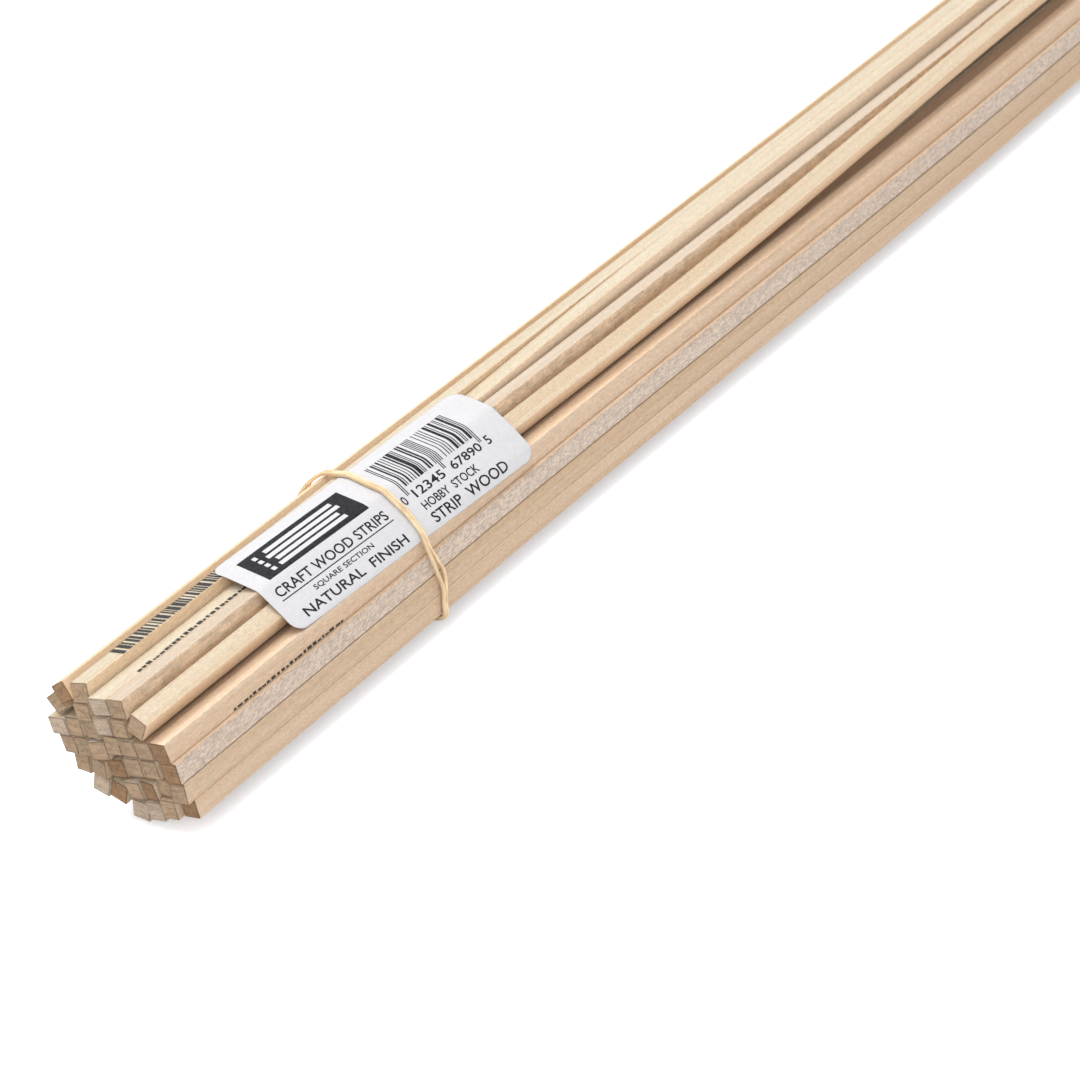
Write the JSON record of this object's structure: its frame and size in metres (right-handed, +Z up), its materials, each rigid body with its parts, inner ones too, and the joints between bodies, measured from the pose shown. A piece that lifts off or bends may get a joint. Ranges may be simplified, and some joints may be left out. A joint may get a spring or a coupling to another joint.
{
  "type": "bundle of model making strip wood",
  "caption": "Bundle of long square basswood strips held by a rubber band near each end, with a paper label tucked under one band.",
  "frame": {"origin": "middle of the bundle's footprint, on the plane that the two rubber bands rest on", "axes": "+X along the strips from the labelled end to the far end, +Z up, +Y away from the labelled side"},
  "size_m": [0.6176, 0.0394, 0.0388],
  "materials": {
    "basswood": "matte",
    "rubber": "matte",
    "label_paper": "satin"
  },
  "bodies": {
    "strip_21": {"strip_21": "basswood"},
    "strip_01": {"strip_01": "basswood"},
    "strip_02": {"strip_02": "basswood"},
    "strip_03": {"strip_03": "basswood"},
    "strip_04": {"strip_04": "basswood"},
    "strip_05": {"strip_05": "basswood"},
    "strip_06": {"strip_06": "basswood"},
    "strip_07": {"strip_07": "basswood"},
    "strip_08": {"strip_08": "basswood"},
    "strip_09": {"strip_09": "basswood"},
    "strip_10": {"strip_10": "basswood"},
    "strip_11": {"strip_11": "basswood"},
    "strip_12": {"strip_12": "basswood"},
    "strip_13": {"strip_13": "basswood"},
    "strip_14": {"strip_14": "basswood"},
    "strip_15": {"strip_15": "basswood"},
    "strip_16": {"strip_16": "basswood"},
    "strip_17": {"strip_17": "basswood"},
    "strip_18": {"strip_18": "basswood"},
    "strip_19": {"strip_19": "basswood"},
    "strip_20": {"strip_20": "basswood"},
    "strip_22": {"strip_22": "basswood"},
    "strip_23": {"strip_23": "basswood"},
    "strip_24": {"strip_24": "basswood"},
    "strip_25": {"strip_25": "basswood"},
    "strip_26": {"strip_26": "basswood"},
    "strip_27": {"strip_27": "basswood"},
    "strip_28": {"strip_28": "basswood"},
    "strip_29": {"strip_29": "basswood"},
    "strip_30": {"strip_30": "basswood"},
    "strip_31": {"strip_31": "basswood"},
    "strip_32": {"strip_32": "basswood"},
    "strip_33": {"strip_33": "basswood"},
    "strip_34": {"strip_34": "basswood"},
    "strip_35": {"strip_35": "basswood"},
    "strip_36": {"strip_36": "basswood"},
    "rubber_band_front": {"rubber_band_front": "rubber"},
    "rubber_band_rear": {"rubber_band_rear": "rubber"},
    "label": {"label": "label_paper"}
  },
  "joints": [
    {"name": "draw_strip_01", "type": "slide", "parent": "strip_21", "child": "strip_01", "axis": [1, 0, 0], "range_m": [-0.62, 0.62]},
    {"name": "draw_strip_02", "type": "slide", "parent": "strip_21", "child": "strip_02", "axis": [1, 0, 0], "range_m": [-0.62, 0.62]},
    {"name": "draw_strip_03", "type": "slide", "parent": "strip_21", "child": "strip_03", "axis": [1, 0, 0], "range_m": [-0.62, 0.62]},
    {"name": "draw_strip_04", "type": "slide", "parent": "strip_21", "child": "strip_04", "axis": [1, 0, 0], "range_m": [-0.62, 0.62]},
    {"name": "draw_strip_05", "type": "slide", "parent": "strip_21", "child": "strip_05", "axis": [1, 0, 0], "range_m": [-0.62, 0.62]},
    {"name": "draw_strip_06", "type": "slide", "parent": "strip_21", "child": "strip_06", "axis": [1, 0, 0], "range_m": [-0.62, 0.62]},
    {"name": "draw_strip_07", "type": "slide", "parent": "strip_21", "child": "strip_07", "axis": [1, 0, 0], "range_m": [-0.62, 0.62]},
    {"name": "draw_strip_08", "type": "slide", "parent": "strip_21", "child": "strip_08", "axis": [1, 0, 0], "range_m": [-0.62, 0.62]},
    {"name": "draw_strip_09", "type": "slide", "parent": "strip_21", "child": "strip_09", "axis": [1, 0, 0], "range_m": [-0.62, 0.62]},
    {"name": "draw_strip_10", "type": "slide", "parent": "strip_21", "child": "strip_10", "axis": [1, 0, 0], "range_m": [-0.62, 0.62]},
    {"name": "draw_strip_11", "type": "slide", "parent": "strip_21", "child": "strip_11", "axis": [1, 0, 0], "range_m": [-0.62, 0.62]},
    {"name": "draw_strip_12", "type": "slide", "parent": "strip_21", "child": "strip_12", "axis": [1, 0, 0], "range_m": [-0.62, 0.62]},
    {"name": "draw_strip_13", "type": "slide", "parent": "strip_21", "child": "strip_13", "axis": [1, 0, 0], "range_m": [-0.62, 0.62]},
    {"name": "draw_strip_14", "type": "slide", "parent": "strip_21", "child": "strip_14", "axis": [1, 0, 0], "range_m": [-0.62, 0.62]},
    {"name": "draw_strip_15", "type": "slide", "parent": "strip_21", "child": "strip_15", "axis": [1, 0, 0], "range_m": [-0.62, 0.62]},
    {"name": "draw_strip_16", "type": "slide", "parent": "strip_21", "child": "strip_16", "axis": [1, 0, 0], "range_m": [-0.62, 0.62]},
    {"name": "draw_strip_17", "type": "slide", "parent": "strip_21", "child": "strip_17", "axis": [1, 0, 0], "range_m": [-0.62, 0.62]},
    {"name": "draw_strip_18", "type": "slide", "parent": "strip_21", "child": "strip_18", "axis": [1, 0, 0], "range_m": [-0.62, 0.62]},
    {"name": "draw_strip_19", "type": "slide", "parent": "strip_21", "child": "strip_19", "axis": [1, 0, 0], "range_m": [-0.62, 0.62]},
    {"name": "draw_strip_20", "type": "slide", "parent": "strip_21", "child": "strip_20", "axis": [1, 0, 0], "range_m": [-0.62, 0.62]},
    {"name": "draw_strip_22", "type": "slide", "parent": "strip_21", "child": "strip_22", "axis": [1, 0, 0], "range_m": [-0.62, 0.62]},
    {"name": "draw_strip_23", "type": "slide", "parent": "strip_21", "child": "strip_23", "axis": [1, 0, 0], "range_m": [-0.62, 0.62]},
    {"name": "draw_strip_24", "type": "slide", "parent": "strip_21", "child": "strip_24", "axis": [1, 0, 0], "range_m": [-0.62, 0.62]},
    {"name": "draw_strip_25", "type": "slide", "parent": "strip_21", "child": "strip_25", "axis": [1, 0, 0], "range_m": [-0.62, 0.62]},
    {"name": "draw_strip_26", "type": "slide", "parent": "strip_21", "child": "strip_26", "axis": [1, 0, 0], "range_m": [-0.62, 0.62]},
    {"name": "draw_strip_27", "type": "slide", "parent": "strip_21", "child": "strip_27", "axis": [1, 0, 0], "range_m": [-0.62, 0.62]},
    {"name": "draw_strip_28", "type": "slide", "parent": "strip_21", "child": "strip_28", "axis": [1, 0, 0], "range_m": [-0.62, 0.62]},
    {"name": "draw_strip_29", "type": "slide", "parent": "strip_21", "child": "strip_29", "axis": [1, 0, 0], "range_m": [-0.62, 0.62]},
    {"name": "draw_strip_30", "type": "slide", "parent": "strip_21", "child": "strip_30", "axis": [1, 0, 0], "range_m": [-0.62, 0.62]},
    {"name": "draw_strip_31", "type": "slide", "parent": "strip_21", "child": "strip_31", "axis": [1, 0, 0], "range_m": [-0.62, 0.62]},
    {"name": "draw_strip_32", "type": "slide", "parent": "strip_21", "child": "strip_32", "axis": [1, 0, 0], "range_m": [-0.62, 0.62]},
    {"name": "draw_strip_33", "type": "slide", "parent": "strip_21", "child": "strip_33", "axis": [1, 0, 0], "range_m": [-0.62, 0.62]},
    {"name": "draw_strip_34", "type": "slide", "parent": "strip_21", "child": "strip_34", "axis": [1, 0, 0], "range_m": [-0.62, 0.62]},
    {"name": "draw_strip_35", "type": "slide", "parent": "strip_21", "child": "strip_35", "axis": [1, 0, 0], "range_m": [-0.62, 0.62]},
    {"name": "draw_strip_36", "type": "slide", "parent": "strip_21", "child": "strip_36", "axis": [1, 0, 0], "range_m": [-0.62, 0.62]},
    {"name": "roll_rubber_band_front", "type": "slide", "parent": "strip_21", "child": "rubber_band_front", "axis": [1, 0, 0], "range_m": [-0.1, 0.42]},
    {"name": "roll_rubber_band_rear", "type": "slide", "parent": "strip_21", "child": "rubber_band_rear", "axis": [1, 0, 0], "range_m": [-0.42, 0.1]},
    {"name": "slip_label", "type": "slide", "parent": "strip_21", "child": "label", "axis": [1, 0, 0], "range_m": [-0.145, 0.38]}
  ]
}
